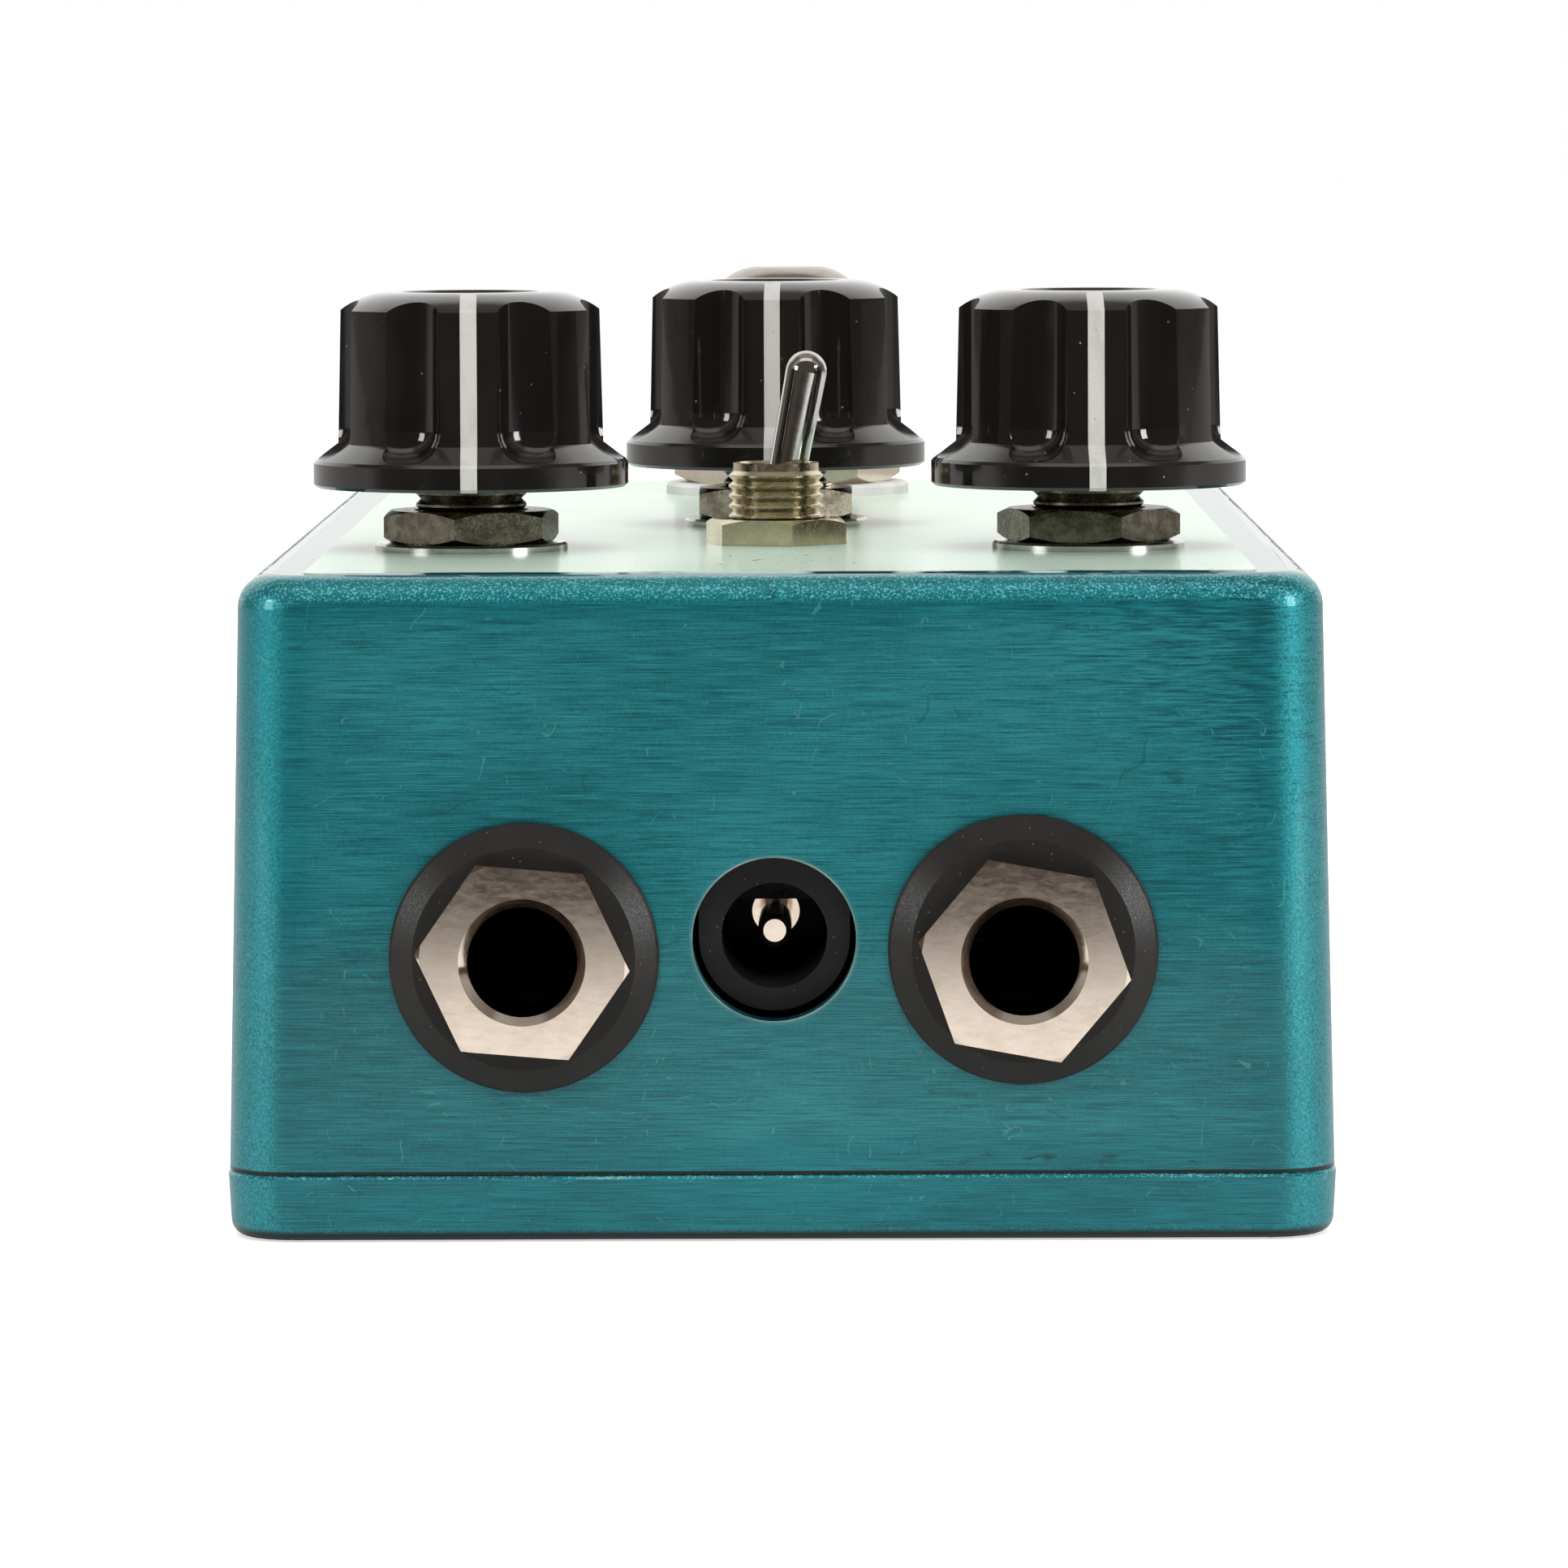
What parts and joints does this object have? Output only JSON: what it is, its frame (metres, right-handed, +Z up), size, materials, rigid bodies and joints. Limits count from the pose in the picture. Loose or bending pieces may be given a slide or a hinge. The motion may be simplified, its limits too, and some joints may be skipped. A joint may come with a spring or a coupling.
{
  "type": "guitar effects pedal",
  "caption": "Die-cast guitar effects pedal with fluted knobs, a toggle switch and a footswitch on top, jacks and a power socket in the end wall.",
  "frame": {"origin": "centre of the lid's underside, the face the pedal stands on", "axes": "+Z up, +Y from the jack end towards the footswitch, +X to the right seen from the jack end"},
  "size_m": [0.0662, 0.1249, 0.0557],
  "materials": {
    "teal_box": "die-cast and hand-brushed, under transparent teal lacquer",
    "teal_lid": "the same lacquer, bare metal at the top edge",
    "label_print": "pale mint print film, satin, finely grained",
    "screw_steel": "plated steel",
    "zinc": "dull dark zinc plate",
    "pot_shaft": "turned aluminium",
    "tinned_pins": "tinned",
    "knob_black": "glossy black phenolic",
    "pointer_white": "white inlay",
    "insert_brass": "turned brass",
    "switch_plastic": "moulded black plastic",
    "nickel": "warm nickel plate",
    "lever_chrome": "bright plating",
    "button_chrome": "bright plating",
    "washer_black": "matte moulded nylon",
    "nylon_white": "moulded nylon washer",
    "jack_plastic": "moulded black plastic",
    "spring_metal": "spring contact metal",
    "board_green": "solder mask over glass laminate",
    "led_lens": "tinted clear epoxy",
    "capacitor_sleeve": "shrink sleeve",
    "film_yellow": "moulded box",
    "chip_black": "moulded package",
    "resistor_blue": "coated body",
    "ribbon_grey": "flexible vinyl"
  },
  "bodies": {
    "chassis": {"enclosure_shell": "teal_box", "base_lid": "teal_lid", "lid_screws": "screw_steel", "top_label": "label_print", "left_pot_body": "zinc", "right_pot_body": "zinc", "rear_pot_body": "zinc", "left_pot_terminals": "tinned_pins", "right_pot_terminals": "tinned_pins", "rear_pot_terminals": "tinned_pins", "pot_washers": "zinc", "pot_nuts": "zinc", "toggle_body": "switch_plastic", "toggle_bushing": "nickel", "toggle_nut": "nickel", "toggle_terminals": "tinned_pins", "input_jack_washer": "washer_black", "output_jack_washer": "washer_black", "input_jack_nut": "nickel", "output_jack_nut": "nickel", "input_jack_body": "jack_plastic", "output_jack_body": "jack_plastic", "input_jack_contacts": "spring_metal", "output_jack_contacts": "spring_metal", "power_socket_body": "jack_plastic", "power_socket_pin": "nickel", "power_socket_contact": "spring_metal", "footswitch_body": "switch_plastic", "footswitch_bushing": "nickel", "footswitch_washer": "nylon_white", "footswitch_nut": "nickel", "footswitch_terminals": "tinned_pins", "footswitch_board": "board_green", "led_bezel": "nickel", "status_led": "led_lens", "led_legs": "tinned_pins", "main_board": "board_green", "electrolytic_capacitors": "capacitor_sleeve", "film_capacitors": "film_yellow", "amplifier_chips": "chip_black", "resistors": "resistor_blue", "ribbon_cable": "ribbon_grey", "ribbon_headers": "switch_plastic"},
    "left_knob_body": {"left_knob": "knob_black", "left_knob_pointer": "pointer_white", "left_knob_insert": "insert_brass", "left_knob_set_screw": "screw_steel", "left_pot_shaft": "pot_shaft"},
    "right_knob_body": {"right_knob": "knob_black", "right_knob_pointer": "pointer_white", "right_knob_insert": "insert_brass", "right_knob_set_screw": "screw_steel", "right_pot_shaft": "pot_shaft"},
    "rear_knob_body": {"rear_knob": "knob_black", "rear_knob_pointer": "pointer_white", "rear_knob_insert": "insert_brass", "rear_knob_set_screw": "screw_steel", "rear_pot_shaft": "pot_shaft"},
    "toggle_lever_body": {"toggle_lever": "lever_chrome"},
    "footswitch_button_body": {"footswitch_button": "button_chrome"}
  },
  "joints": [
    {"name": "left_knob_turn", "type": "hinge", "parent": "chassis", "child": "left_knob_body", "pos_m": [-0.01935, -0.0325, 0.04355], "axis": [0, 0, 1], "range_deg": [-150, 150]},
    {"name": "right_knob_turn", "type": "hinge", "parent": "chassis", "child": "right_knob_body", "pos_m": [0.0191, -0.0325, 0.04355], "axis": [0, 0, 1], "range_deg": [-150, 150]},
    {"name": "rear_knob_turn", "type": "hinge", "parent": "chassis", "child": "rear_knob_body", "pos_m": [-0.00055, -0.004, 0.04355], "axis": [0, 0, 1], "range_deg": [-150, 150]},
    {"name": "toggle_flip", "type": "hinge", "parent": "chassis", "child": "toggle_lever_body", "pos_m": [-0.0004, -0.0265, 0.0403], "axis": [0, 1, 0], "range_deg": [-21.6, 0]},
    {"name": "footswitch_press", "type": "slide", "parent": "chassis", "child": "footswitch_button_body", "axis": [0, 0, -1], "range_m": [0, 0.003], "stiffness_N_per_m": 2500, "springref_m": -0.001}
  ]
}
